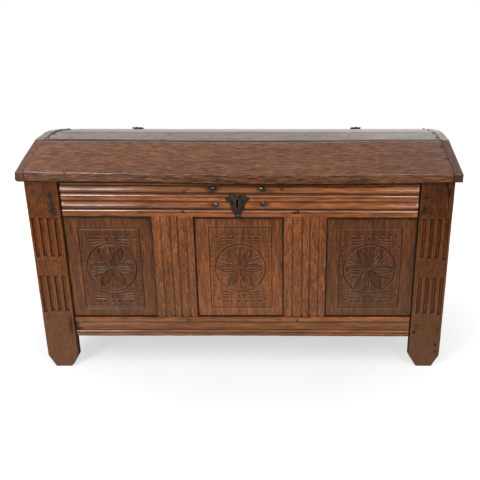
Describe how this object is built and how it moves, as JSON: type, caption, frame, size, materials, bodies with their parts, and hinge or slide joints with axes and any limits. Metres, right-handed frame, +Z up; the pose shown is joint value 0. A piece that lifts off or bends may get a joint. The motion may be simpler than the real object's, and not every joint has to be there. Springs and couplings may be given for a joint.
{
  "type": "coffer chest",
  "caption": "Joined oak coffer with a coopered hinged lid, carved front panels, fluted stiles that run down as feet, strap hinges, and a lock with a sliding bolt.",
  "frame": {"origin": "on the floor, under the middle of the whole chest's box", "axes": "+Z up; the front faces -Y; +X towards the right end as seen from the front"},
  "size_m": [1.362, 0.6524, 0.7818],
  "materials": {
    "oak_front": "old waxed oak, worn on the mouldings, dark in the quirks",
    "oak_carved_panel": "old waxed oak, carved, darker than the frame",
    "oak_frame": "plain waxed oak of the ends and the back",
    "oak_floor": "dry unwaxed oak boards",
    "oak_lid": "waxed and rubbed oak boards with a soft sheen",
    "oak_peg": "dark end grain of riven pegs",
    "wrought_iron": "hammered, blackened and waxed iron",
    "worn_iron": "iron rubbed bright where it slides or turns"
  },
  "bodies": {
    "carcase": {"front_stile_left": "oak_front", "front_stile_right": "oak_front", "front_top_rail": "oak_front", "front_bottom_rail": "oak_front", "front_muntin_left": "oak_front", "front_muntin_right": "oak_front", "front_panel_left": "oak_carved_panel", "front_panel_centre": "oak_carved_panel", "front_panel_right": "oak_carved_panel", "back_stile_left": "oak_frame", "back_stile_right": "oak_frame", "back_top_rail": "oak_frame", "back_bottom_rail": "oak_frame", "back_muntin": "oak_frame", "back_panel_left": "oak_frame", "back_panel_right": "oak_frame", "left_end_front_stile": "oak_frame", "left_end_back_stile": "oak_frame", "left_end_top_rail": "oak_frame", "left_end_bottom_rail": "oak_frame", "left_end_muntin": "oak_frame", "left_end_front_panel": "oak_frame", "left_end_back_panel": "oak_frame", "right_end_front_stile": "oak_frame", "right_end_back_stile": "oak_frame", "right_end_top_rail": "oak_frame", "right_end_bottom_rail": "oak_frame", "right_end_muntin": "oak_frame", "right_end_front_panel": "oak_frame", "right_end_back_panel": "oak_frame", "bottom_ledge_left": "oak_floor", "bottom_ledge_right": "oak_floor", "bottom_bearer": "oak_floor", "bottom_board_front": "oak_floor", "bottom_board_middle": "oak_floor", "bottom_board_back": "oak_floor", "back_strap_left": "wrought_iron", "back_strap_right": "wrought_iron", "lock_case": "wrought_iron", "lock_spring": "wrought_iron", "key_pin": "wrought_iron", "escutcheon": "wrought_iron", "back_strap_nails": "wrought_iron", "lock_nails": "wrought_iron", "escutcheon_nails": "wrought_iron", "hinge_pin_left": "worn_iron", "hinge_pin_right": "worn_iron", "frame_pegs": "oak_peg"},
    "lid": {"lid_board_front": "oak_lid", "lid_board_upper_front": "oak_lid", "lid_board_crown": "oak_lid", "lid_board_upper_back": "oak_lid", "lid_board_back": "oak_lid", "lid_gable_left": "oak_lid", "lid_gable_right": "oak_lid", "lid_strap_left": "wrought_iron", "lid_strap_right": "wrought_iron", "lid_staple": "wrought_iron", "lid_nails": "wrought_iron"},
    "bolt": {"lock_bolt": "worn_iron"}
  },
  "joints": [
    {"name": "lid_hinge", "type": "hinge", "parent": "carcase", "child": "lid", "pos_m": [0, 0.31825, 0.63615], "axis": [-1, 0, 0], "range_deg": [0, 100]},
    {"name": "lock_bolt_slide", "type": "slide", "parent": "carcase", "child": "bolt", "axis": [1, 0, 0], "range_m": [0, 0.012]}
  ]
}
